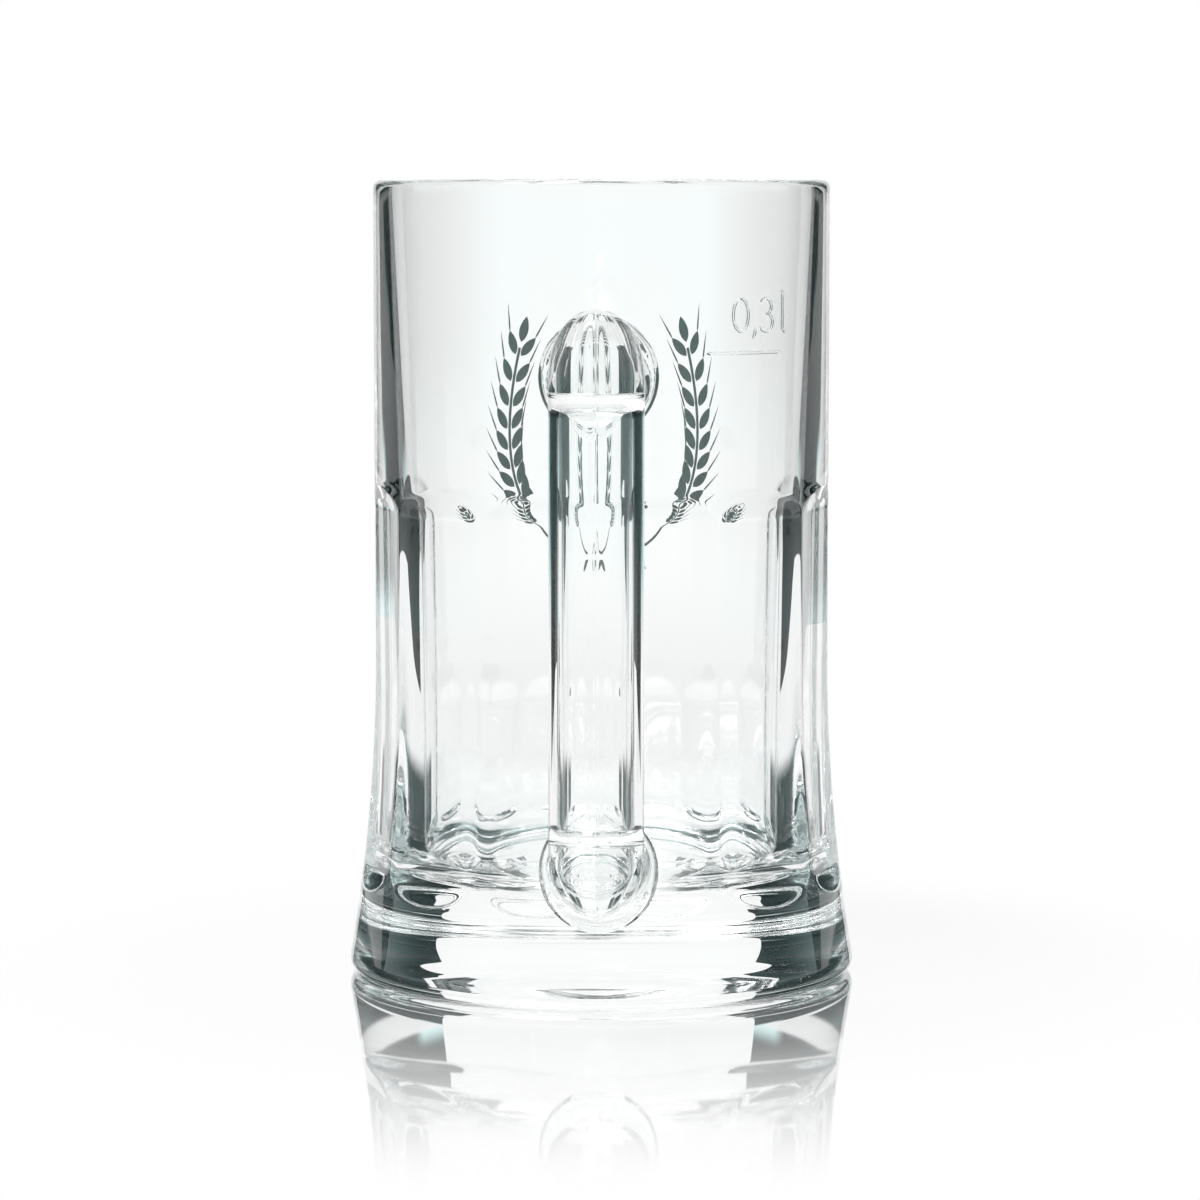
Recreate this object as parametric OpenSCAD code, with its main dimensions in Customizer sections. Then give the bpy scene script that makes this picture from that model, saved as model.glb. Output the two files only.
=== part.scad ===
// Fluted glass mug with a welded handle.
// The axis of the mug is Z, the mug stands on z = 0, and the handle is on the -Y side.

/* [Body] */
// Height from the table to the top of the rim
body_h = 131.5; // [115:0.5:150]
// Outer diameter of the straight wall, from the rim down to the waist
wall_d = 75.4; // [70:0.2:84]
// Height of the waist, where the foot begins to flare
waist_z = 53; // [46:0.5:60]
// Growth of the outer radius from the waist down to the foot
foot_flare = 4.4; // [3:0.1:6]
// Rounding of the foot's bottom edge
foot_edge_r = 2.4; // [1:0.1:3.5]

/* [Bore] */
// Thickness of the wall at the rim
rim_wall = 2.4; // [1.8:0.1:3]
// Narrowing of the bore's radius from the rim down to the floor
bore_draft = 3.7; // [2:0.1:4.5]
// Thickness of the glass under the bore
floor_t = 15.4; // [12:0.2:22]
// Rounding between the bore and its floor
floor_corner_r = 8; // [3:0.5:14]

/* [Underside] */
// Diameter of the shallow push-up inside the standing ring
push_up_d = 66; // [50:1:70]
// Rise of the push-up at its middle
push_up_h = 2.6; // [1:0.1:5]

/* [Flutes] */
// Number of flutes round the wall
flute_n = 12; // [10:2:16]
// Number of flutes facing away from the handle that stop low, below the smooth field
short_flute_n = 4; // [0:2:6]
// Height of the arched tops of the flutes
flute_top = 81.3; // [70:0.1:90]
// Height of the arched tops of the short flutes
short_flute_top = 44; // [38:0.5:44]
// Height of the lower ends of the flutes
flute_bottom = 16.2; // [14:0.1:22]
// Radius with which a flute runs out of the wall at its two ends
flute_runout_r = 9.4; // [6:0.1:14]
// Width of the smooth land between two flutes
land_w = 1.6; // [0.8:0.1:3]

/* [Handle] */
// Distance from the rim's outside to the grip's outer face
handle_reach = 36.5; // [33:0.5:46]
// Width of the handle, seen from behind
handle_w = 14.6; // [11:0.1:18]
// Thickness of the handle, seen from the side
handle_t = 10.8; // [10.4:0.1:13]
// Rounding of the handle's long edges
handle_edge_r = 4.6; // [2:0.1:5]
// Height of the upper arm's middle line at the wall
upper_arm_z = 100.5; // [97:0.5:104]
// Rise of the upper arm from the wall to the knee, in degrees
upper_arm_rise = 11; // [2:1:16]
// Height of the lower arm's middle line at the foot
lower_arm_z = 22.6; // [20:0.2:26]
// Rise of the lower arm from the foot to the knee, in degrees
lower_arm_rise = 6; // [2:1:20]
// Outer rounding of the two knees
knee_r = 5.1; // [4.6:0.1:5.2]
// How much fuller the outside of a knee is than the arms
knee_full = 0.3; // [0.2:0.05:0.8]
// Inner rounding of the two knees
knee_inner_r = 3; // [2:0.5:8]
// Radius of the flared pads that weld the arms to the body
pad_r = 9.5; // [8:0.1:12]
// Height of a pad's upright edge where it stands on the wall
pad_edge = 0.8; // [0.3:0.1:1.5]
// Radius of the hollow between an arm and its pad
pad_fillet_r = 4; // [2:0.1:6]

/* [Filling mark] */
// Height of the filling mark
fill_z = 103.7; // [90:0.1:112]
// Height of the raised bar
fill_line_h = 0.7; // [0.4:0.1:1.5]
// How far the bar stands out from the wall
fill_line_out = 0.35; // [0.2:0.05:0.8]
// Angle from the handle to the near end of the bar
fill_line_from = 27; // [20:1:40]
// Angle that the bar covers
fill_line_sweep = 23; // [10:1:40]

/* [Hidden] */
$fn = 96;
// Steps round the very large circles of the flare and the push-up
fine_fn = 1440;

// Overlap of cutting shapes past the surface that they cut
past = 1;
// How far above the waist the flutes begin to flare
panel_lead = 3;
// Depth below the skin of the arms from which the web of a knee rises
web_inset = 0.3;
// Angle by which a knee's outer rounding runs on, once it has sunk into the arms
knee_overrun = 3;
glass = [0.82, 0.88, 0.87, 0.6];

wall_r = wall_d / 2;
foot_r = wall_r + foot_flare;
rim_round = rim_wall / 2;
rim_z = body_h - rim_round;

// The flare is one arc that leaves the waist upright and ends at the foot's edge
flare_drop = waist_z - foot_edge_r;
flare_r = (flare_drop * flare_drop + foot_flare * foot_flare) / (2 * foot_flare);

bore_rim_r = wall_r - rim_wall;
bore_floor_r = bore_rim_r - bore_draft;
bore_lean = atan(bore_draft / (rim_z - floor_t));
corner_z = floor_t + floor_corner_r;
corner_x = bore_floor_r + floor_corner_r * tan(bore_lean) - floor_corner_r / cos(bore_lean);

push_up_sphere_r = (push_up_d * push_up_d / 4 + push_up_h * push_up_h) / (2 * push_up_h);

// Outer radius of the unfluted wall at height z
function outer_r(z) = z >= waist_z
    ? wall_r
    : wall_r + flare_r - sqrt(flare_r * flare_r - pow(waist_z - z, 2));

// How far the wall leans out at height z, in degrees
function outer_lean(z) = z >= waist_z ? 0 : asin((waist_z - z) / flare_r);

// A flute is a flat panel that begins to flare a little above the waist and follows the foot
flute_pitch = 360 / flute_n;
panel_half = flute_pitch / 2 - land_w / wall_r * 90 / PI;
panel_r = wall_r * cos(panel_half);
flute_depth = wall_r - panel_r;
runout_h = sqrt(2 * flute_runout_r * flute_depth - flute_depth * flute_depth);
panel_waist_z = waist_z + panel_lead;
panel_drop = panel_waist_z - flute_bottom;
panel_flare = outer_r(flute_bottom) - wall_r;
panel_flare_r = (panel_drop * panel_drop + panel_flare * panel_flare) / (2 * panel_flare);
// Cutters stop in the middle of the lands, so that neighbours stay apart
panel_w = 2 * panel_r * tan(flute_pitch / 2) - land_w / 4;
cut_reach = foot_flare + flute_depth + past;

// Middle of a run-out circle that touches the panel at height z
function runout_x(z) = z >= panel_waist_z
    ? panel_r + flute_runout_r
    : panel_r + panel_flare_r
        - sqrt(pow(panel_flare_r - flute_runout_r, 2) - pow(panel_waist_z - z, 2));

// Height where a run-out circle at height z meets the panel
function runout_touch(z) = z >= panel_waist_z
    ? z
    : panel_waist_z + (z - panel_waist_z) * panel_flare_r / (panel_flare_r - flute_runout_r);

// The handle lies in the plane [distance from the axis, height]
grip_out = wall_r + handle_reach;
grip_mid = grip_out - handle_t / 2;
// Depth from which the arms and their pads start inside the wall, before they are cut to it
weld_root = 2 * rim_wall;
arm_start = wall_r - weld_root;
upper_turn = 90 + upper_arm_rise;
lower_turn = 90 - lower_arm_rise;
// Distance from the middle line out to the axis of a knee's outer rounding
knee_out = handle_t / 2 - knee_r;
knee_x = grip_out - knee_r;
upper_knee = [knee_x, upper_arm_z + knee_out / cos(upper_arm_rise)
    + (knee_x - wall_r) * tan(upper_arm_rise)];
lower_knee = [knee_x, lower_arm_z - knee_out / cos(lower_arm_rise)
    + (knee_x - foot_r) * tan(lower_arm_rise)];
// Axes of the knees' inner roundings, in the finger gap
gap_corner_out = knee_inner_r + handle_t / 2;
gap_corner_x = grip_mid - gap_corner_out;
upper_gap_corner = [gap_corner_x, upper_arm_z - gap_corner_out / cos(upper_arm_rise)
    + (gap_corner_x - wall_r) * tan(upper_arm_rise)];
lower_gap_corner = [gap_corner_x, lower_arm_z + gap_corner_out / cos(lower_arm_rise)
    + (gap_corner_x - foot_r) * tan(lower_arm_rise)];

module at_angle(a) {
    rotate([0, 0, a - 90]) children();
}

module disc_at(x, z, r) {
    translate([x, z]) circle(r = r, $fn = r > wall_d ? fine_fn : $fn);
}

// A turned form, whose seam lies in the middle of a short flute
module turned() {
    at_angle(180 + flute_pitch / 2) rotate_extrude() children();
}

module outer_profile() {
    foot_in = foot_r - foot_edge_r;
    translate([0, waist_z]) square([wall_r, rim_z - waist_z]);
    difference() {
        translate([0, foot_edge_r]) square([foot_r, flare_drop]);
        disc_at(wall_r + flare_r, waist_z, flare_r);
    }
    square([foot_in, foot_edge_r]);
    intersection() {
        disc_at(foot_in, foot_edge_r, foot_edge_r);
        square([foot_r, foot_edge_r]);
    }
}

module rim_profile() {
    intersection() {
        disc_at(wall_r - rim_round, rim_z, rim_round);
        translate([bore_rim_r, rim_z]) square([rim_wall, rim_round]);
    }
}

module bore_profile() {
    polygon([
        [-past, floor_t],
        [corner_x, floor_t],
        [corner_x + floor_corner_r * cos(bore_lean), corner_z - floor_corner_r * sin(bore_lean)],
        [bore_rim_r, rim_z],
        [bore_rim_r, body_h],
        [-past, body_h]
    ]);
    intersection() {
        disc_at(corner_x, corner_z, floor_corner_r);
        translate([corner_x, floor_t]) square(floor_corner_r);
    }
}

module flute_profile(top) {
    low = flute_bottom + runout_h;
    high = top - runout_h;
    low_touch = runout_touch(low);
    high_touch = runout_touch(high);
    disc_at(runout_x(low), low, flute_runout_r);
    disc_at(runout_x(high), high, flute_runout_r);
    intersection() {
        translate([panel_r, low_touch])
            square([cut_reach, min(high_touch, panel_waist_z) - low_touch]);
        disc_at(panel_r + panel_flare_r, panel_waist_z, panel_flare_r);
    }
    if (high > panel_waist_z)
        translate([panel_r, panel_waist_z]) square([cut_reach, high - panel_waist_z]);
}

module flutes() {
    first_short = (flute_n - short_flute_n) / 2;
    for (i = [0 : flute_n - 1]) {
        short = i >= first_short && i < first_short + short_flute_n;
        at_angle((i + 0.5) * flute_pitch)
            rotate([90, 0, 0])
                linear_extrude(height = panel_w, center = true)
                    flute_profile(short ? short_flute_top : flute_top);
    }
}

module wall_profile() {
    difference() {
        outer_profile();
        bore_profile();
        disc_at(0, push_up_h - push_up_sphere_r, push_up_sphere_r);
    }
    rim_profile();
}

// The mug as a full, fluted block, without its rim, bore and push-up
module outer_form() {
    difference() {
        turned() outer_profile();
        flutes();
    }
}

module mug_body() {
    color(glass) difference() {
        turned() wall_profile();
        flutes();
    }
}

// The section of the handle, or a smaller one that lies inside it by an inset
module handle_section(inset = 0) {
    corner_r = handle_edge_r - inset;
    core_t = handle_t - 2 * handle_edge_r;
    core_w = handle_w - 2 * handle_edge_r;
    square([core_t + 2 * corner_r, core_w], center = true);
    square([core_t, core_w + 2 * corner_r], center = true);
    for (x = [-1, 1], y = [-1, 1])
        translate([x * core_t / 2, y * core_w / 2]) circle(r = corner_r);
}

// A straight stretch that starts at a point of the middle line and runs at an angle
module bar(start, angle, length) {
    translate([start.x, start.y, 0])
        rotate([0, 0, angle])
            rotate([90, 0, 90])
                linear_extrude(height = length) handle_section();
}

// The outer rounding of a knee, turned about an axis inside the bar until it sinks into the arms
module knee_outside(knee, from, turn) {
    past_arm = acos(knee_r / (knee_r + knee_full)) + knee_overrun;
    translate([knee.x, knee.y, 0])
        rotate([0, 0, from - past_arm])
            rotate_extrude(angle = turn + 2 * past_arm)
                intersection() {
                    translate([knee_full - knee_out, 0]) handle_section();
                    translate([0, -handle_w / 2]) square([knee_r + knee_full, handle_w]);
                }
}

// The web in the inner corner of a knee, turned about an axis in the finger gap
module knee_inside(center, from, turn) {
    translate([center.x, center.y, 0])
        rotate([0, 0, from])
            rotate_extrude(angle = turn)
                translate([gap_corner_out, 0])
                    intersection() {
                        handle_section(web_inset);
                        translate([-handle_t / 2, -handle_w / 2]) square([handle_t / 2, handle_w]);
                    }
}

// The trumpet that welds an arm to the wall, square to the wall at height z
module weld_pad(z) {
    length = weld_root + pad_edge + pad_fillet_r;
    translate([outer_r(z), z, 0])
        rotate([0, 0, outer_lean(z)])
            translate([-weld_root, 0, 0])
                rotate([0, 90, 0])
                    rotate_extrude()
                        difference() {
                            square([pad_r, length]);
                            disc_at(pad_r, length, pad_fillet_r);
                        }
}

module handle_bar() {
    upper_start = [arm_start, upper_arm_z - (wall_r - arm_start) * tan(upper_arm_rise)];
    lower_start = [arm_start, lower_arm_z - (foot_r - arm_start) * tan(lower_arm_rise)];
    upper_len = (knee_x - arm_start + knee_out * sin(upper_arm_rise)) / cos(upper_arm_rise);
    lower_len = (knee_x - arm_start - knee_out * sin(lower_arm_rise)) / cos(lower_arm_rise);
    bar(upper_start, upper_arm_rise, upper_len);
    bar(lower_start, lower_arm_rise, lower_len);
    bar([grip_mid, lower_knee.y], 90, upper_knee.y - lower_knee.y);
    knee_outside(upper_knee, 0, upper_turn);
    knee_outside(lower_knee, -lower_turn, lower_turn);
    knee_inside(upper_gap_corner, 0, upper_turn);
    knee_inside(lower_gap_corner, -lower_turn, lower_turn);
    weld_pad(upper_arm_z);
    weld_pad(lower_arm_z);
}

module handle() {
    color(glass) difference() {
        rotate([90, 0, -90]) handle_bar();
        outer_form();
    }
}

module fill_line() {
    line_r = outer_r(fill_z);
    color(glass) difference() {
        at_angle(fill_line_from)
            rotate_extrude(angle = fill_line_sweep)
                translate([line_r - past, fill_z - fill_line_h / 2])
                    square([past + fill_line_out, fill_line_h]);
        outer_form();
    }
}

mug_body();
handle();
fill_line();
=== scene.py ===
# %% [markdown]
# # A fluted glass mug with a welded handle
# The mug is clear pressed glass. A straight wall stands on a flared foot, twelve flat flutes are pressed
# into it, a solid handle is welded on with two flared pads, and a raised bar with figures marks the
# filling height. A one-colour print is fired on the side away from the handle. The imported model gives
# the frame: the Z axis is the mug's axis, the mug stands on z = 0, and the handle points to -Y.

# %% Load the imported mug
import math

import bpy
import numpy as np
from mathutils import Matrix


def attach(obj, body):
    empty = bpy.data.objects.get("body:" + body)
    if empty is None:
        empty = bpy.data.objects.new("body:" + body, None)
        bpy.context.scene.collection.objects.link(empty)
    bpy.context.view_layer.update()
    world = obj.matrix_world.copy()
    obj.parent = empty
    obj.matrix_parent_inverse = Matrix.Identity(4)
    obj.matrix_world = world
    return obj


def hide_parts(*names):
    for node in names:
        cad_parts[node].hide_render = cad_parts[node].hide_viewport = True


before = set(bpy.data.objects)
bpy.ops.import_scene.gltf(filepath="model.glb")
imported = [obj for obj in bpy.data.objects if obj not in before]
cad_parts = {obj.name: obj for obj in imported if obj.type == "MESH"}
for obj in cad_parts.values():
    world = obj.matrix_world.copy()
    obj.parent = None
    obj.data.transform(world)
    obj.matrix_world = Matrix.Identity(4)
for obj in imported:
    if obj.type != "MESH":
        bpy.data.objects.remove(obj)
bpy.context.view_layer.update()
bpy.ops.object.select_all(action="DESELECT")
MM = 0.001

# %% [markdown]
# ## The camera
# The photograph was taken from the handle's side, about level with the rim. A short lens close by would
# spread the foot and the rim apart, while a long lens from further off keeps the wall's two edges nearly
# parallel, as they are there. The camera is tilted down a little, and it stands a touch to the right, so
# the handle covers the axis not quite in the middle.

# %% Set up the camera
CAMERA_DISTANCE, CAMERA_HEIGHT = 713.4 * MM, 128.65 * MM
CAMERA_TILT, CAMERA_AZIMUTH, CAMERA_YAW = map(math.radians, (5.351, 0.68, 0.02))
LENS, SENSOR_W = 128.97, 36
bpy.ops.object.camera_add(
    location=(
        CAMERA_DISTANCE * math.sin(CAMERA_AZIMUTH),
        -CAMERA_DISTANCE * math.cos(CAMERA_AZIMUTH),
        CAMERA_HEIGHT,
    ),
    rotation=(math.pi / 2 - CAMERA_TILT, 0, CAMERA_AZIMUTH + CAMERA_YAW),
)
camera = bpy.context.object
camera.data.lens, camera.data.sensor_width = LENS, SENSOR_W
bpy.context.scene.camera = camera
print("the lens is", round(camera.data.lens, 1), "mm")

# %% [markdown]
# ## The wall of the mug, seen as numbers
# The outside is a straight cylinder down to the waist and then one long arc out to the foot. A flute is
# a flat panel, so its distance from the axis is the same all across it, and on the round wall it shows
# as a shallow facet. At its two ends the press runs the panel out of the wall on a small radius, and
# that is what draws the arched tops. All sizes here are in millimetres, as in the CAD model.

# %% Describe the outside of the wall
BODY_H, WALL_R, FOOT_R = 131.5, 37.7, 42.1
WAIST_Z, FOOT_EDGE_R = 53.0, 2.4
FLARE_R = ((WAIST_Z - FOOT_EDGE_R) ** 2 + (FOOT_R - WALL_R) ** 2) / (2 * (FOOT_R - WALL_R))
FLUTES, PITCH = 12, math.pi / 6
FLUTE_TOP, SHORT_FLUTE_TOP, FLUTE_BOTTOM, RUNOUT_R = 81.3, 44.0, 16.2, 9.4
LAND_W, EDGE_SOFTNESS = 1.6, 0.3


def plain_r(z):
    """The outer radius without flutes at height z."""
    drop = np.clip(WAIST_Z - z, 0, None)
    return WALL_R + FLARE_R - np.sqrt(FLARE_R**2 - drop**2)


PANEL_R = WALL_R * math.cos(PITCH / 2 - LAND_W / WALL_R / 2)
FLUTE_DEPTH = WALL_R - PANEL_R
RUNOUT_H = math.sqrt(2 * RUNOUT_R * FLUTE_DEPTH - FLUTE_DEPTH**2)


def panel_distance(z, top):
    """How far a flute's panel lies from the axis at height z, run out of the wall at both ends."""
    low, high = FLUTE_BOTTOM + RUNOUT_H, top - RUNOUT_H
    level = plain_r(np.clip(z, low, high)) - FLUTE_DEPTH
    beyond = np.maximum(z - high, low - z)
    lift = RUNOUT_R - np.sqrt(np.clip(RUNOUT_R**2 - np.clip(beyond, 0, RUNOUT_R) ** 2, 0, None))
    return level + lift + np.where(beyond > RUNOUT_R, RUNOUT_R, 0)


def wall_r(angle, z):
    """The outer radius with its flutes, whose edges are softened by the fire polish."""
    middle = (np.floor(angle / PITCH) + 0.5) * PITCH
    from_front = np.abs((middle - math.pi / 2 + math.pi) % (2 * math.pi) - math.pi)
    top = np.where(from_front < 2 * PITCH, SHORT_FLUTE_TOP, FLUTE_TOP)
    panel = panel_distance(z, top) / np.cos(angle - middle)
    plain = plain_r(z)
    share = np.clip(0.5 + 0.5 * (plain - panel) / EDGE_SOFTNESS, 0, 1)
    return plain + share * (panel - plain) - EDGE_SOFTNESS * share * (1 - share)


print("a flute is", round(FLUTE_DEPTH, 2), "mm deep and its panel", round(PANEL_R, 2), "mm from the axis")

# %% [markdown]
# ## The body
# The mug could be cut from a cylinder with twelve Boolean cutters, but such edges come out razor sharp
# and shade badly in glass. Here one closed profile is spun round the axis, with rows packed closely
# where the flutes end. The columns are then drawn together towards the ridges, and every point of the
# outside is pressed in to the wall's formula, so that each edge keeps a small round.

# %% Draw the profile, from the middle of the underside round to the middle of the bore's floor
RIM_WALL, BORE_DRAFT, FLOOR_T, FLOOR_CORNER_R = 2.4, 3.7, 15.4, 8.0
PUSH_UP_R, PUSH_UP_H = 33.0, 2.6
STANDING_RING = (0.4, 2.0, 4.5, 6.2)


def arc(center, radius, start, end, count):
    """Points on an arc, with angles in degrees."""
    turn = np.radians(np.linspace(start, end, count))
    return [(center[0] + radius * math.cos(t), center[1] + radius * math.sin(t)) for t in turn]


dome_r = (PUSH_UP_R**2 + PUSH_UP_H**2) / (2 * PUSH_UP_H)
dome_half = math.degrees(math.asin(PUSH_UP_R / dome_r))
profile = arc((0, PUSH_UP_H - dome_r), dome_r, 90, 90 - dome_half, count=14)
profile += [(PUSH_UP_R + step, 0.0) for step in STANDING_RING]
profile += arc((FOOT_R - FOOT_EDGE_R, FOOT_EDGE_R), FOOT_EDGE_R, -90, 0, count=12)
OUTSIDE_ROWS = [(FOOT_EDGE_R, 14, 1.2), (14, 26, 0.34), (26, 36, 1.4), (36, 45, 0.34), (45, 74, 2.4)]
OUTSIDE_ROWS += [(74, 83, 0.32), (83, 124, 4.0), (124, BODY_H - RIM_WALL / 2, 1.5)]
outside_z = np.concatenate(
    [np.linspace(low, high, round((high - low) / step), endpoint=False) for low, high, step in OUTSIDE_ROWS]
)[1:]
profile += [(float(plain_r(z)), float(z)) for z in outside_z]
rim_z = BODY_H - RIM_WALL / 2
profile += arc((WALL_R - RIM_WALL / 2, rim_z), RIM_WALL / 2, 0, 180, count=17)
bore_lean = math.atan(BORE_DRAFT / (rim_z - FLOOR_T))
bore_floor_r = WALL_R - RIM_WALL - BORE_DRAFT
corner_x = bore_floor_r + FLOOR_CORNER_R * (math.tan(bore_lean) - 1 / math.cos(bore_lean))
corner_middle = (corner_x, FLOOR_T + FLOOR_CORNER_R)
corner = arc(corner_middle, FLOOR_CORNER_R, -math.degrees(bore_lean), -90, count=16)
bore_top, bore_foot = np.array([WALL_R - RIM_WALL, rim_z]), np.array(corner[0])
profile += [tuple(bore_top + step * (bore_foot - bore_top)) for step in np.linspace(0, 1, 34)[1:-1]]
profile += corner + [(corner_x * (1 - step), FLOOR_T) for step in np.linspace(0, 1, 10)[1:]]
print("the profile has", len(profile), "points")

# %% Spin the profile
COLUMNS = 360
body_mesh = bpy.data.meshes.new("glass_body")
body_mesh.from_pydata(
    [(r * MM, 0, z * MM) for r, z in profile], [(i, i + 1) for i in range(len(profile) - 1)], []
)
glass_body = bpy.data.objects.new("glass_body", body_mesh)
bpy.context.scene.collection.objects.link(glass_body)
bpy.context.view_layer.objects.active = glass_body
glass_body.select_set(True)
bpy.ops.object.mode_set(mode="EDIT")
bpy.ops.mesh.select_all(action="SELECT")
bpy.ops.mesh.spin(steps=COLUMNS, angle=2 * math.pi, center=(0, 0, 0), axis=(0, 0, 1))
bpy.ops.mesh.select_all(action="SELECT")
bpy.ops.mesh.remove_doubles(threshold=0.01 * MM)
bpy.ops.mesh.normals_make_consistent(inside=False)
bpy.ops.object.mode_set(mode="OBJECT")
print("the spun body has", len(glass_body.data.vertices), "points")

# %% Press the flutes
COLUMN_PULL, NEAR_WALL = 0.55, 0.005


def read_points(mesh):
    """The points of a mesh in millimetres."""
    points = np.zeros(len(mesh.vertices) * 3)
    mesh.vertices.foreach_get("co", points)
    return points.reshape(-1, 3) / MM


def write_points(mesh, points):
    """Puts the points of a mesh at places in millimetres."""
    mesh.vertices.foreach_set("co", (points * MM).ravel())
    mesh.update()


points = read_points(glass_body.data)
radius = np.hypot(points[:, 0], points[:, 1])
height = points[:, 2]
angle = np.arctan2(points[:, 1], points[:, 0])
angle = angle - COLUMN_PULL / FLUTES * np.sin(FLUTES * angle)
outside = np.abs(radius - plain_r(height)) < NEAR_WALL
outside &= (height > FOOT_EDGE_R + 0.1) & (height < rim_z + 0.01)
radius = np.where(outside, wall_r(angle, height), radius)
write_points(glass_body.data, np.stack([radius * np.cos(angle), radius * np.sin(angle), height], 1))
bpy.ops.object.shade_smooth()
print("the body has", len(glass_body.data.polygons), "faces and", int(outside.sum()), "pressed points")

# %% [markdown]
# ## The handle
# The handle is a bar of glass, flat on the inside and round on the outside, with a fine seam down the
# middle of its round side, where the two halves of the mould met. It leaves the foot nearly level,
# turns up through a tight knee, turns back down to the wall through a sharper one, and is welded on
# with a flared pad at each end. A curve with a bevel can't turn so tightly without folding, so the bar
# is a loft: each ring spans from a point of the inner outline to a point of the outer outline, and the
# two outlines have their own roundings.

# %% Describe the ring and the loft
HANDLE_W, HANDLE_T, WIDEST, FLATNESS = 14.6, 10.8, -0.52, 3.0
SEAM_W, SEAM_OUT = 0.32, 0.1
SEAM_STEPS = np.array([0.3, 0.6, 1.0, 1.6])


def ring_shape():
    """Points of the section as (from -1 on the inside to 1 on the outside, from -1 to 1 across)."""
    by_seam = np.arcsin(SEAM_STEPS * SEAM_W / HANDLE_W * 2)
    half = np.append(by_seam, np.radians(np.linspace(7, 90, 21)))
    shape = []
    for t in np.concatenate([-half[::-1], [0.0], half]):
        seam = SEAM_OUT / HANDLE_T * 2 * math.exp(-((math.sin(t) * HANDLE_W / 2 / SEAM_W) ** 2))
        shape.append((WIDEST + (1 - WIDEST) * math.cos(t) + seam, math.sin(t)))
    for t in np.radians(np.linspace(90, 270, 37)[1:-1]):
        down, across = abs(math.cos(t)) ** (2 / FLATNESS), abs(math.sin(t)) ** (2 / FLATNESS)
        shape.append((WIDEST - (1 + WIDEST) * down, math.copysign(across, math.sin(t))))
    return np.array(shape)


BAR_RING = ring_shape()
turn = np.arctan2(BAR_RING[:, 1], BAR_RING[:, 0])
ROUND_RING = np.stack([np.cos(turn), np.sin(turn)], 1)


def ring(inner, outer, half_w=HANDLE_W / 2, roundness=0.0):
    """One ring in the plane of the handle, as (distance from the axis, height, across)."""
    shape = BAR_RING + roundness * (ROUND_RING - BAR_RING)
    share = (shape[:, :1] + 1) / 2
    line = np.array(inner) + share * (np.array(outer) - np.array(inner))
    return np.concatenate([line, shape[:, 1:] * half_w], 1)


def heading(degrees):
    """A step of length 1 at an angle."""
    return np.array([math.cos(math.radians(degrees)), math.sin(math.radians(degrees))])


print("a ring has", len(BAR_RING), "points")

# %% Describe a knee
KNEE_R, KNEE_INNER_R = 5.2, 3.8
knee_out, knee_in = HANDLE_T / 2 - KNEE_R, HANDLE_T / 2 + KNEE_INNER_R


def knee(corner, start, turn):
    """Rings round a knee, which turns left by an angle from a heading in degrees."""
    half = math.radians(turn / 2)
    lead = (knee_in + knee_out) * math.tan(half)
    axis_out = corner + heading(start) * knee_out * math.tan(half) + heading(start - 90) * knee_out
    axis_in = corner - heading(start) * knee_in * math.tan(half) - heading(start - 90) * knee_in
    first = axis_out + heading(start - 90) * KNEE_R
    outer = [first - heading(start) * lead * (1 - s) for s in np.linspace(0, 1, 7)[:-1]]
    outer += [axis_out + heading(start - 90 + turn * s) * KNEE_R for s in np.linspace(0, 1, 29)]
    outer += [outer[-1] + heading(start + turn) * lead * s for s in np.linspace(0, 1, 7)[1:]]
    steps = np.linspace(0, 1, len(outer))
    inner = [axis_in + heading(start - 90 + turn * s) * KNEE_INNER_R for s in steps]
    return [ring(i, o) for i, o in zip(inner, outer)]


print("a knee is rounded by", KNEE_R, "mm outside and", KNEE_INNER_R, "mm inside")

# %% Describe a weld
PAD_HALF_W, PAD_HALF_H, PAD_RIM_R, PAD_ROOT = 9.2, 9.5, 0.3, 0.1
PAD_FILLET_R, PAD_TURN, PAD_ROUNDING = 4.2, 11.5, 1.6


def weld(foot, direction, lean, side, edge):
    """Rings from an arm down its flared pad to the wall, with the bar's outside right (1) or left (-1)."""
    normal, across_pad = heading(lean), heading(lean - 90 * side)
    across_arm = heading(math.degrees(math.atan2(direction[1], direction[0])) - 90 * side)
    slant = float(direction @ normal)
    flare_from = edge + PAD_FILLET_R
    stations = [(d, 0.0, 0.0) for d in np.linspace(PAD_TURN, flare_from, 7)[:-1]]
    for t in np.radians(np.linspace(0, 90, 22)):
        stations.append((edge + PAD_FILLET_R * (1 - math.sin(t)), 1 - math.cos(t), 0.0))
    for t in np.radians(np.linspace(0, 90, 6)[1:]):
        stations.append((edge - PAD_RIM_R * (1 - math.cos(t)), 1.0, PAD_RIM_R * math.sin(t)))
    stations.append((edge - PAD_RIM_R - PAD_ROOT, 1.0, PAD_RIM_R))
    rings = []
    for d, flare, rim in stations:
        blend = np.clip((PAD_TURN - d) / (PAD_TURN - flare_from), 0, 1)
        blend = blend * blend * (3 - 2 * blend)
        across = across_arm + blend * (across_pad - across_arm)
        across = across / np.linalg.norm(across)
        middle = foot + direction * d / slant
        half_t = HANDLE_T / 2 + (PAD_HALF_H - HANDLE_T / 2) * flare + rim
        half_w = HANDLE_W / 2 + (PAD_HALF_W - HANDLE_W / 2) * flare + rim
        roundness = min(1.0, flare * PAD_ROUNDING)
        rings.append(ring(middle - across * half_t, middle + across * half_t, half_w, roundness))
    return rings


print("a pad is", 2 * PAD_HALF_W, "mm wide and", 2 * PAD_HALF_H, "mm high")

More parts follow.
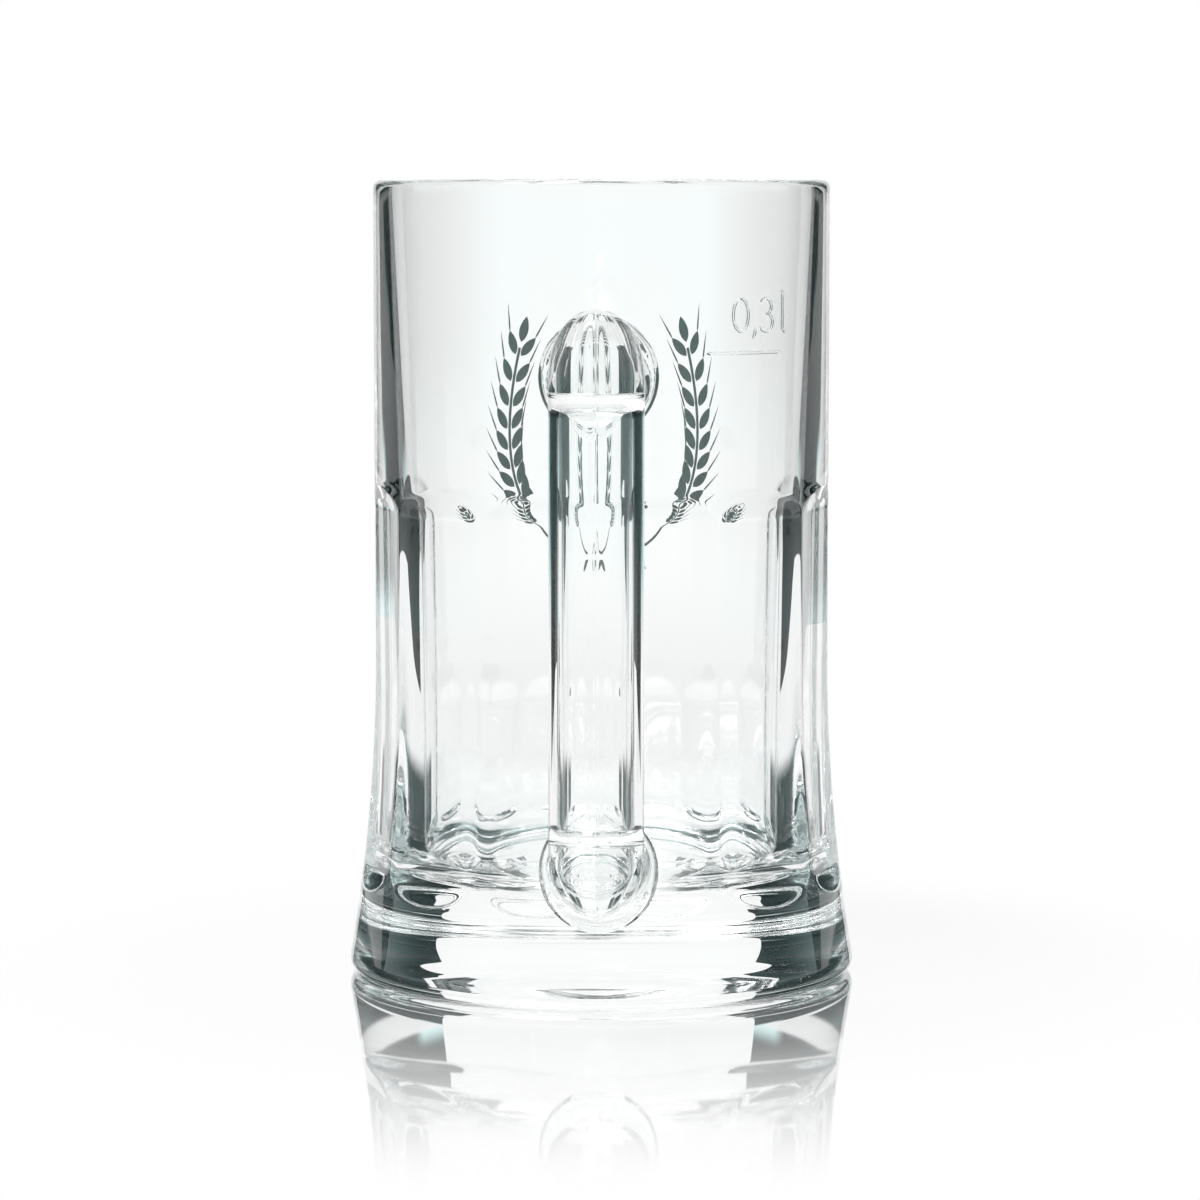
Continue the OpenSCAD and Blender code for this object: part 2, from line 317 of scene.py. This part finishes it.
# %% Lay out the two arms, the grip and the knees
REACH = 36.5
UPPER_ARM_Z, UPPER_RISE, PAD_EDGE = 100.5, 11.0, 0.8
LOWER_ARM_Z, LOWER_RISE, LOW_PAD_EDGE = 22.6, 6.0, 0.35
grip_mid = WALL_R + REACH - HANDLE_T / 2
lower_dir, upper_dir = heading(LOWER_RISE), heading(UPPER_RISE)
lower_corner = np.array([FOOT_R, LOWER_ARM_Z]) + lower_dir * (grip_mid - FOOT_R) / lower_dir[0]
upper_corner = np.array([WALL_R, UPPER_ARM_Z]) + upper_dir * (grip_mid - WALL_R) / upper_dir[0]
lower_foot_r = float(plain_r(LOWER_ARM_Z))
lower_foot = np.array([lower_foot_r, LOWER_ARM_Z - (FOOT_R - lower_foot_r) * lower_dir[1] / lower_dir[0]])
lower_lean = math.degrees(math.asin((WAIST_Z - LOWER_ARM_Z) / FLARE_R))
rings = weld(lower_foot, lower_dir, lower_lean, 1, LOW_PAD_EDGE)[::-1]
rings += knee(lower_corner, LOWER_RISE, 90 - LOWER_RISE)
rings += knee(upper_corner, 90, 90 + UPPER_RISE)
rings += weld(np.array([WALL_R, UPPER_ARM_Z]), upper_dir, 0.0, -1, PAD_EDGE)
print("the handle's middle lines meet at", lower_corner.round(1), "and", upper_corner.round(1))

# %% Close the two ends and sink them a hair into the wall
SUNK, END_STEPS = 0.05, (1.0, 0.85, 0.65, 0.45, 0.25, 0.06)


def on_wall(points):
    """Points of a ring moved along Y on to the wall, and a hair into it."""
    z, x = points[:, 1], points[:, 2]
    y = -np.sqrt(plain_r(z) ** 2 - x**2)
    for _ in range(4):
        y = -np.sqrt((wall_r(np.arctan2(y, x), z) - SUNK) ** 2 - x**2)
    return np.stack([-y, z, x], 1)


def closing(end):
    """Rings that close an end of the bar, all of them lying on the wall."""
    middle = (end.min(axis=0) + end.max(axis=0)) / 2
    return [on_wall(middle + (end - middle) * s) for s in END_STEPS]


rings = closing(rings[0])[::-1] + rings + closing(rings[-1])
print("the ends lie", SUNK, "mm under the wall")


# %% Loft the handle
def new_piece(name, points, faces):
    """A mesh object at the origin, with its points in millimetres, made the active one."""
    mesh = bpy.data.meshes.new(name)
    mesh.from_pydata([tuple(p) for p in points * MM], [], faces)
    piece = bpy.data.objects.new(name, mesh)
    bpy.context.scene.collection.objects.link(piece)
    bpy.ops.object.select_all(action="DESELECT")
    bpy.context.view_layer.objects.active = piece
    piece.select_set(True)
    return piece


def turn_faces_out():
    """Turns the active piece's faces outwards and smooths it."""
    bpy.ops.object.mode_set(mode="EDIT")
    bpy.ops.mesh.select_all(action="SELECT")
    bpy.ops.mesh.normals_make_consistent(inside=False)
    bpy.ops.object.mode_set(mode="OBJECT")
    bpy.ops.object.shade_smooth()


count = len(BAR_RING)
faces = [tuple(range(count)), tuple(range((len(rings) - 1) * count, len(rings) * count))]
for row in range(len(rings) - 1):
    a, b = row * count, (row + 1) * count
    faces += [(a + i, a + (i + 1) % count, b + (i + 1) % count, b + i) for i in range(count)]
loft = np.concatenate(rings)
glass_handle = new_piece("glass_handle", np.stack([loft[:, 2], -loft[:, 0], loft[:, 1]], 1), faces)
turn_faces_out()
print("the handle has", len(rings), "rings and", len(faces), "faces")

# %% [markdown]
# ## The filling mark
# The mould also has the filling mark cut into it: a thin bar at the filling height and, above it, the
# capacity in plain figures. On the glass they stand out as soft round beads. They are drawn as curves
# on the unrolled wall with a round bevel, turned into a mesh, and wrapped round the wall, where half of
# each bead stays under the surface.

# %% Draw the bar and the figures on the unrolled wall
FILL_Z = 104.05
BAR_FROM, BAR_TO = math.radians(27) * WALL_R, math.radians(50) * WALL_R


def oval(center, half_w, half_h, start, end, count):
    """Points on a part of an oval, with angles in degrees."""
    turn = np.radians(np.linspace(start, end, count))
    return [(center[0] + half_w * math.cos(t), center[1] + half_h * math.sin(t)) for t in turn]


bar = [(BAR_FROM + (BAR_TO - BAR_FROM) * s, FILL_Z) for s in np.linspace(0, 1, 40)]
zero = oval((24.05, 110.05), 1.5, 2.6, 90, 450, 33)
comma = [(26.9, 108.0), (27.0, 107.5), (26.85, 106.9), (26.5, 106.3)]
three = oval((29.35, 111.35), 1.25, 1.3, 150, -80, 15) + oval((29.4, 108.85), 1.5, 1.45, 80, -150, 17)
litre = [(32.7, 113.4), (33.3, 114.0), (33.35, 113.0), (33.35, 108.2)]
litre += oval((34.0, 108.0), 0.65, 0.7, 190, 300, 8)
figures = (zero, comma, three, litre)
print("the bar is", round(BAR_TO - BAR_FROM, 1), "mm long, with", len(figures), "figures above it")

# %% Make the strokes beads of glass and wrap them round the wall
BEAD_R, BAR_R, BEAD_END = 0.26, 0.3, 0.6


def beads(name, strokes):
    """Round beads of glass along the strokes, each given as its radius and its points."""
    curve = bpy.data.curves.new(name, "CURVE")
    curve.dimensions, curve.bevel_depth, curve.bevel_resolution = "3D", MM, 3
    curve.use_fill_caps = True
    for bead_r, stroke in strokes:
        spline = curve.splines.new("POLY")
        spline.points.add(len(stroke) - 1)
        for point, (along, z) in zip(spline.points, stroke):
            point.co = (along * MM, 0, z * MM, 1)
            point.radius = bead_r
        for end in (spline.points[0], spline.points[-1]):
            end.radius = bead_r * BEAD_END
    piece = bpy.data.objects.new(name, curve)
    bpy.context.scene.collection.objects.link(piece)
    bpy.ops.object.select_all(action="DESELECT")
    bpy.context.view_layer.objects.active = piece
    piece.select_set(True)
    bpy.ops.object.convert(target="MESH")
    return bpy.context.object


fill_mark = beads("filling_mark", [(BAR_R, bar)] + [(BEAD_R, figure) for figure in figures])
flat = read_points(fill_mark.data)
angle, out = flat[:, 0] / WALL_R, WALL_R + flat[:, 1]
write_points(fill_mark.data, np.stack([out * np.sin(angle), -out * np.cos(angle), flat[:, 2]], 1))
turn_faces_out()
print("the filling mark has", len(fill_mark.data.polygons), "faces")

# %% [markdown]
# ## The print
# The side away from the handle carries a one-colour enamel print, fired on after pressing, and from the
# handle side it is seen through two walls of glass. Here it is a plain wreath of two barley ears round
# a hop cone. Each grain, awn and scale is its own flat shape, set out on the unrolled wall, given the
# thickness of a coat of enamel, and wrapped round the glass, so that it is real geometry from any side.

# %% Draw a barley ear on the unrolled wall
STEM_HALF_W = 0.26
GRAIN_L, GRAIN_HALF_W, GRAIN_SPLAY, GRAIN_SET = 4.3, 0.85, 30, 0.55
AWN_L, AWN_HALF_W, AWN_SPLAY, AWN_FROM = 5.0, 0.15, 18, 4.1


def leaf(root, direction, length, half_w, fullness=0.45, count=9):
    """A pointed leaf from a root along a direction in degrees, widest at a share of its length."""
    along, across = heading(direction), heading(direction + 90)
    steps = np.linspace(0, 1, count)
    width = half_w * np.sin(np.pi * steps ** (math.log(0.5) / math.log(fullness))) ** 0.8
    right = [np.array(root) + along * length * s - across * w for s, w in zip(steps, width)]
    left = [np.array(root) + along * length * s + across * w for s, w in zip(steps, width)]
    return right + left[-2:0:-1]


def stem_point(s):
    """A point of the right ear's stem and its direction in degrees, from the wreath's foot to its tip."""
    start, pull, end = np.array([1.0, 66.0]), np.array([25.5, 70.0]), np.array([15.5, 103.5])
    place = (1 - s) ** 2 * start + 2 * s * (1 - s) * pull + s * s * end
    slope = 2 * (1 - s) * (pull - start) + 2 * s * (end - pull)
    return place, math.degrees(math.atan2(slope[1], slope[0]))


ear = []
stem = [stem_point(s) for s in np.linspace(0, 0.97, 26)]
edge = [p + heading(d + 90) * STEM_HALF_W for p, d in stem]
ear.append([p - heading(d + 90) * STEM_HALF_W for p, d in stem] + edge[::-1])
for s in np.linspace(0.36, 0.95, 9):
    place, way = stem_point(s)
    for side in (1, -1):
        root = place + heading(way + 90 * side) * GRAIN_SET
        ear.append(leaf(root, way + GRAIN_SPLAY * side, GRAIN_L, GRAIN_HALF_W))
        tip = root + heading(way + GRAIN_SPLAY * side) * AWN_FROM
        ear.append(leaf(tip, way + AWN_SPLAY * side, AWN_L, AWN_HALF_W, fullness=0.2))
tip, way = stem_point(0.985)
ear.append(leaf(tip, way, length=4.6, half_w=0.9))
print("an ear has", len(ear), "shapes")

# %% Draw the hop cone and put the wreath together
SCALES, SCALE_L, SCALE_HALF_W, SCALE_SPLAY = (2, 3, 4, 3, 4, 3, 2, 1), 3.3, 1.3, 8
HOP_TOP, SCALE_STEP_X, SCALE_STEP_Z = 98.2, 3.1, 2.45
hop = [leaf((0, 98.4), 90, length=4.2, half_w=0.3)]
for row, scales in enumerate(SCALES):
    for i in range(scales):
        across = i - (scales - 1) / 2
        root = (across * SCALE_STEP_X, HOP_TOP - row * SCALE_STEP_Z)
        hop.append(leaf(root, -90 + across * SCALE_SPLAY, SCALE_L, SCALE_HALF_W, fullness=0.42))
for side in (1, -1):
    hop.append(leaf((side * 1.4, 99.6), 90 - side * 62, length=7.5, half_w=1.7, fullness=0.5))
    hop.append(leaf((side * 0.6, 64.9), 90 - side * 112, length=5.5, half_w=0.7, fullness=0.5))
shapes = hop + ear + [[p * (-1, 1) for p in shape] for shape in ear]
print("the wreath has", len(shapes), "shapes")

# %% Give the shapes the thickness of enamel and wrap them round the glass
ENAMEL_OUT, ENAMEL_IN = 0.04, 0.02
enamel_points, enamel_faces = [], []
for shape in shapes:
    first, count = len(enamel_points), len(shape)
    for out in (-ENAMEL_IN, ENAMEL_OUT):
        for along, z in shape:
            turn_by = along / WALL_R
            enamel_points.append(((WALL_R + out) * math.sin(turn_by), (WALL_R + out) * math.cos(turn_by), z))
    enamel_faces += [tuple(range(first, first + count)), tuple(range(first + count, first + 2 * count))]
    for i in range(count):
        j = (i + 1) % count
        enamel_faces.append((first + i, first + j, first + count + j, first + count + i))
front_print = new_piece("front_print", np.array(enamel_points), enamel_faces)
turn_faces_out()
bpy.ops.object.shade_flat()
print("the print has", len(enamel_faces), "faces")

# %% [markdown]
# ## Finishes as arithmetic
# A finish is a tree of nodes. It could be linked node by node, but then the sums in it are hard to read.
# Here a small class writes the sums as plain arithmetic, and one method makes any other node.


# %% Write sums of sockets
class Socket:
    """An output of a node that can be added, multiplied and so on."""

    def __init__(self, tree, output):
        self.tree, self.output = tree, output

    def math(self, operation, first, second):
        node = self.tree.nodes.new("ShaderNodeMath")
        node.operation = operation
        for place, value in enumerate((first, second)):
            if isinstance(value, Socket):
                self.tree.links.new(value.output, node.inputs[place])
            else:
                node.inputs[place].default_value = value
        return Socket(self.tree, node.outputs[0])

    def __add__(self, other):
        return self.math("ADD", self, other)

    def __radd__(self, other):
        return self.math("ADD", other, self)

    def __sub__(self, other):
        return self.math("SUBTRACT", self, other)

    def __rsub__(self, other):
        return self.math("SUBTRACT", other, self)

    def __mul__(self, other):
        return self.math("MULTIPLY", self, other)

    def __rmul__(self, other):
        return self.math("MULTIPLY", other, self)


print("sockets add, subtract and multiply")


# %% Write a tree of nodes from top to bottom
class Shader:
    """A node tree that is written from top to bottom."""

    def __init__(self, owner):
        owner.use_nodes = True
        self.tree = owner.node_tree
        self.tree.nodes.clear()

    def node(self, kind, settings=None, inputs=None, output=0):
        """Any node: its settings come first, then the values or links of its sockets."""
        made = self.tree.nodes.new(kind)
        for name, value in (settings or {}).items():
            setattr(made, name, value)
        for name, value in (inputs or {}).items():
            if isinstance(value, Socket):
                self.tree.links.new(value.output, made.inputs[name])
            else:
                made.inputs[name].default_value = value
        return Socket(self.tree, made.outputs[output]) if made.outputs else made

    def ramp(self, value, low, high):
        """0 below low, 1 above high, smooth between."""
        settings = {"interpolation_type": "SMOOTHSTEP", "clamp": True}
        return self.node("ShaderNodeMapRange", settings, {"Value": value, "From Min": low, "From Max": high})

    def along(self, place, axis):
        """The X, Y or Z of a place."""
        return self.node("ShaderNodeSeparateXYZ", inputs={"Vector": place}, output=axis)

    def ray(self, kind):
        """1 for rays of a kind, such as the camera's own, and 0 for the others."""
        return self.node("ShaderNodeLightPath", output="Is " + kind + " Ray")

    def mix(self, share, first, second):
        """The first shader, or the second as far as the share says."""
        return self.node("ShaderNodeMixShader", inputs={0: share, 1: first, 2: second})


print("a shader makes nodes, ramps, places, kinds of rays and mixtures")

# %% [markdown]
# ## The glass
# Soda-lime glass bends light with an index of about 1.52 and swallows a trace of red over a thick
# floor, which gives the faint cool tint. A volume inside the glass could give it too, but a tinted surface
# is much quicker and does the same here. The mould leaves the surface not quite flat, so a slow wave
# moves the reflections, and years on tables leave a scuffed standing ring.

# %% Make the glass
GLASS_IOR, GLASS_TINT = 1.52, (0.99, 0.998, 0.995, 1)
POLISH, HAZE, SCUFF, SCUFFED_TO = 0.004, 0.012, 0.08, 1.2 * MM


def clear_glass(name, wave):
    """Pressed glass with a slow wave in its surface, a little haze and a scuffed standing ring."""
    material = bpy.data.materials.new(name)
    shader = Shader(material)
    place = shader.node("ShaderNodeTexCoord", output="Object")
    slow = shader.node("ShaderNodeTexNoise", inputs={"Vector": place, "Scale": 60.0, "Detail": 1.0})
    specks = shader.node("ShaderNodeTexNoise", inputs={"Vector": place, "Scale": 1400.0, "Detail": 2.0})
    ring_wear = 1 - shader.ramp(shader.along(place, "Z"), 0.0, SCUFFED_TO)
    scuffs = shader.ramp(specks, 0.48, 0.62) * ring_wear
    bump = shader.node(
        "ShaderNodeBump", inputs={"Strength": 1.0, "Distance": wave * MM, "Height": slow}, output="Normal"
    )
    surface = shader.node(
        "ShaderNodeBsdfPrincipled",
        inputs={
            "Base Color": GLASS_TINT,
            "Roughness": POLISH + HAZE * slow + SCUFF * scuffs,
            "IOR": GLASS_IOR,
            "Transmission Weight": 1.0,
            "Normal": bump,
        },
    )
    shader.node("ShaderNodeOutputMaterial", inputs={"Surface": surface})
    return material


glass_body.data.materials.append(clear_glass("clear_glass", wave=0.012))
glass_handle.data.materials.append(clear_glass("handle_glass", wave=0.02))
fill_mark.data.materials.append(clear_glass("relief_glass", wave=0.004))
print("the glass bends light by", GLASS_IOR)

# %% [markdown]
# ## The enamel
# The print is one coat of dark green enamel, melted on to the glass. One even colour would look like a
# sticker, so a cloudy pattern moves its tone, and a fine grain its sheen, as screen print has them.

# %% Make the enamel
ENAMEL_DARK, ENAMEL_PALE = (0.006, 0.05, 0.034, 1), (0.012, 0.075, 0.052, 1)
ENAMEL_SHEEN, ENAMEL_UNEVEN, ENAMEL_GRAIN = 0.32, 0.2, 0.02 * MM


def enamel(name):
    """Dark green fired enamel, a little uneven in tone and sheen, as screen print is."""
    material = bpy.data.materials.new(name)
    shader = Shader(material)
    place = shader.node("ShaderNodeTexCoord", output="Object")
    cloud = shader.node("ShaderNodeTexNoise", inputs={"Vector": place, "Scale": 220.0, "Detail": 3.0})
    grain = shader.node("ShaderNodeTexNoise", inputs={"Vector": place, "Scale": 2600.0, "Detail": 1.0})
    tone = shader.node(
        "ShaderNodeMix",
        {"data_type": "RGBA"},
        {0: shader.ramp(cloud, 0.3, 0.7), 6: ENAMEL_DARK, 7: ENAMEL_PALE},
        output=2,
    )
    bump = shader.node(
        "ShaderNodeBump",
        inputs={"Strength": 0.3, "Distance": ENAMEL_GRAIN, "Height": grain},
        output="Normal",
    )
    surface = shader.node(
        "ShaderNodeBsdfPrincipled",
        inputs={"Base Color": tone, "Roughness": ENAMEL_SHEEN + ENAMEL_UNEVEN * grain, "Normal": bump},
    )
    shader.node("ShaderNodeOutputMaterial", inputs={"Surface": surface})
    return material


front_print.data.materials.append(enamel("print_enamel"))
print("the enamel's roughness starts at", ENAMEL_SHEEN)

# %% [markdown]
# ## The pieces in the frame
# Every piece rides on the one body of the model. The body, the handle and the filling mark stand for
# the CAD solids of the same places, and the print is new.

# %% Tie the pieces to the frame
for piece, node, slot in (
    (glass_body, "mug_body", "clear_glass"),
    (glass_handle, "handle", "handle_glass"),
    (fill_mark, "fill_line", "relief_glass"),
):
    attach(piece, "root")
    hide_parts(node)
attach(front_print, "root")
print("four pieces ride on the body")

# %% [markdown]
# ## The studio
# Clear glass has no look of its own, so it is lit the way glass is photographed: a white surrounding
# for the bright field, and dark cards beside the backdrop, which the thick edges of the glass pick up
# as dark lines. The surrounding is white for every ray that looks at it, also through the glass, while
# the light that it throws on things stays at a plain level.

# %% Make the white surrounding
AMBIENT = 0.75
bpy.context.scene.view_settings.view_transform = "Standard"


def seen_white(shader):
    """1 for rays that see the white surrounding, 0 for rays that gather its light."""
    seen = shader.ray("Camera") + shader.ray("Glossy") + shader.ray("Transmission")
    return shader.node("ShaderNodeClamp", inputs={"Value": seen})


world = bpy.data.worlds.new("studio")
bpy.context.scene.world = world
shader = Shader(world)
lighting = shader.node("ShaderNodeBackground", inputs={"Color": (1, 1, 1, 1), "Strength": AMBIENT})
backdrop = shader.node("ShaderNodeBackground", inputs={"Color": (1, 1, 1, 1), "Strength": 1.0})
sky = shader.mix(seen_white(shader), lighting, backdrop)
shader.node("ShaderNodeOutputWorld", inputs={"Surface": sky})
print("the surrounding is white and lights things at", AMBIENT)

# %% [markdown]
# ## The floor
# The mug stands on a glossy white plate, which shows its reflection and fades into white paper. A plain
# white plane would lose both the reflection and the shadow, so the plane mixes a mirror, matte paper and
# pure white by the distance from the mug. Through the glass, the paper near the mug is a shade darker,
# which is painted shade: the white paper there is an emission and takes no shadow of its own.

# %% Lay the floor
FLOOR_SIZE, FLOOR_DROP = 8, 0.02 * MM
PLATE_GLOSS, PLATE_GLOSS_SEEN, PLATE_ROUGHNESS = 0.98, 0.92, 0.03
PLATE_FADE, PLATE_FADE_SEEN = (0.13, 0.16), (0.03, 0.17)
PAPER_WHITE, PAPER_SHADED, PAPER_FROM, SHADED_TO = 1.0, 0.91, (0.03, 0.12), (0.3, 0.6)
bpy.ops.mesh.primitive_plane_add(size=FLOOR_SIZE, location=(0, 0, -FLOOR_DROP))
floor = bpy.context.object
floor.name = "studio_floor"
floor.data.materials.append(bpy.data.materials.new("white_floor"))
shader = Shader(floor.data.materials[0])
place = shader.node("ShaderNodeTexCoord", output="Object")
reach = shader.node("ShaderNodeVectorMath", {"operation": "LENGTH"}, {0: place}, output="Value")
white = shader.node("ShaderNodeEmission", inputs={"Color": (1, 1, 1, 1), "Strength": PAPER_WHITE})
shaded = shader.node("ShaderNodeEmission", inputs={"Color": (1, 1, 1, 1), "Strength": PAPER_SHADED})
matte = shader.node("ShaderNodeBsdfDiffuse", inputs={"Color": (0.9, 0.9, 0.9, 1)})
gloss = shader.node("ShaderNodeBsdfGlossy", inputs={"Color": (1, 1, 1, 1), "Roughness": PLATE_ROUGHNESS})
# painted shade: rays through the glass see the paper near the mug at 0.91 of white
backing = shader.mix(shader.ray("Transmission") * (1 - shader.ramp(reach, *SHADED_TO)), white, shaded)
paper = shader.mix(seen_white(shader) * shader.ramp(reach, *PAPER_FROM), matte, backing)
direct = shader.ray("Camera")
fade = 1 - direct * shader.ramp(reach, *PLATE_FADE_SEEN) - (1 - direct) * shader.ramp(reach, *PLATE_FADE)
mirror = PLATE_GLOSS - (PLATE_GLOSS - PLATE_GLOSS_SEEN) * direct
shader.node("ShaderNodeOutputMaterial", inputs={"Surface": shader.mix(mirror * fade, paper, gloss)})
print("the floor is", FLOOR_SIZE, "m wide")

# %% [markdown]
# ## The cards and the room
# Two folded dark cards stand beside the backdrop, left and right of the light's way. Further out, boards
# at the sides and behind the camera stand for the dim room, which the front of the glass reflects. They
# could be black planes in full view, but then the picture would show them, so only the glass and the
# glossy plate do. Their lower edges fade to pale, because a hard edge would draw a line across the mug.

# %% Stand up the cards and the room
CARD_LINE = [(0.80, 0.75), (0.296, 0.634), (0.322, 0.395), (0.345, 0.31), (0.258, 0.125), (0.235, 0.073)]
ROOM_X, ROOM_FROM, ROOM_Y, LIFT, CARD_TOP, ROOM_TOP = 0.6, 0.45, 1.0, 0.5 * MM, 0.6, 1.2
corners, faces = [], []


def upright(start, end, top):
    """An upright board over a line on the floor."""
    faces.append(tuple(range(len(corners), len(corners) + 4)))
    corners.extend(((*start, LIFT), (*end, LIFT), (*end, top), (*start, top)))


for side in (1, -1):
    line = [(side * x, y) for x, y in CARD_LINE]
    for a, b in zip(line, line[1:]):
        upright(a, b, CARD_TOP)
    upright((side * ROOM_X, ROOM_FROM), (side * ROOM_X, -ROOM_Y), CARD_TOP)
upright((-ROOM_X, -ROOM_Y), (ROOM_X, -ROOM_Y), ROOM_TOP)
surround = new_piece("dark_surround", np.array(corners) / MM, faces)
for ray in ("camera", "diffuse", "shadow"):
    setattr(surround, "visible_" + ray, False)
print("the cards and the room are", len(faces), "boards")

# %% Cover the boards
ROOM_COLOR, FELT_COLOR = (0.75, 1, 1, 1), (0.4, 1, 1, 1)
ROOM_BRIGHT, ROOM_DIM, FELT_DARK = 1.0, 0.25, 0.014
ROOM_DIMS, FELT_FROM = (0.0, 0.5), (-0.45, 0.05)
SKIRT_FROM, SKIRT_H, HEM_FROM, HEM_H = (0.5, 0.55), 0.04, (0.48, 0.54), 0.016
surround.data.materials.append(bpy.data.materials.new("dark_felt"))
shader = Shader(surround.data.materials[0])
place = shader.node("ShaderNodeTexCoord", output="Object")
beside = shader.node("ShaderNodeMath", {"operation": "ABSOLUTE"}, {0: shader.along(place, "X")})
behind, above = shader.along(place, "Y"), shader.along(place, "Z")
bright = shader.node("ShaderNodeEmission", inputs={"Color": ROOM_COLOR, "Strength": ROOM_BRIGHT})
dim = shader.node("ShaderNodeEmission", inputs={"Color": ROOM_COLOR, "Strength": ROOM_DIM})
felt = shader.node("ShaderNodeEmission", inputs={"Color": FELT_COLOR, "Strength": FELT_DARK})
room = shader.mix(shader.ramp(above, *ROOM_DIMS), bright, dim)
skirt = shader.ramp(beside, *SKIRT_FROM) * (1 - shader.ramp(above, 0.0, SKIRT_H))
hem = shader.ramp(behind, *HEM_FROM) * (1 - shader.ramp(above, 0.0, HEM_H))
darkness = shader.ramp(behind, *FELT_FROM) * (1 - skirt) * (1 - hem)
shader.node("ShaderNodeOutputMaterial", inputs={"Surface": shader.mix(darkness, room, felt)})
print("the felt has", FELT_DARK, "of the strength of white")

# %% [markdown]
# ## The lamp
# The white surrounding alone would light everything evenly, so one soft lamp above the camera's left
# gives the print and the floor some light with a direction. Light passes many faces in thick fluted
# glass, and with too few bounces the deepest spots would turn black.

# %% Hang the lamp
LAMP_PLACE, LAMP_TURN = (-0.5, -0.6, 1.3), (math.radians(25), 0, math.radians(-40))
LAMP_WATTS, LAMP_SIZE, BOUNCES = 9.0, 0.8, 64
bpy.ops.object.light_add(type="AREA", location=LAMP_PLACE)
lamp = bpy.context.object
lamp.data.energy, lamp.data.size = LAMP_WATTS, LAMP_SIZE
lamp.rotation_euler = LAMP_TURN
cycles = bpy.context.scene.cycles
cycles.max_bounces = cycles.transmission_bounces = cycles.glossy_bounces = BOUNCES
print("one lamp of", LAMP_WATTS, "watts, and light may bounce", BOUNCES, "times")
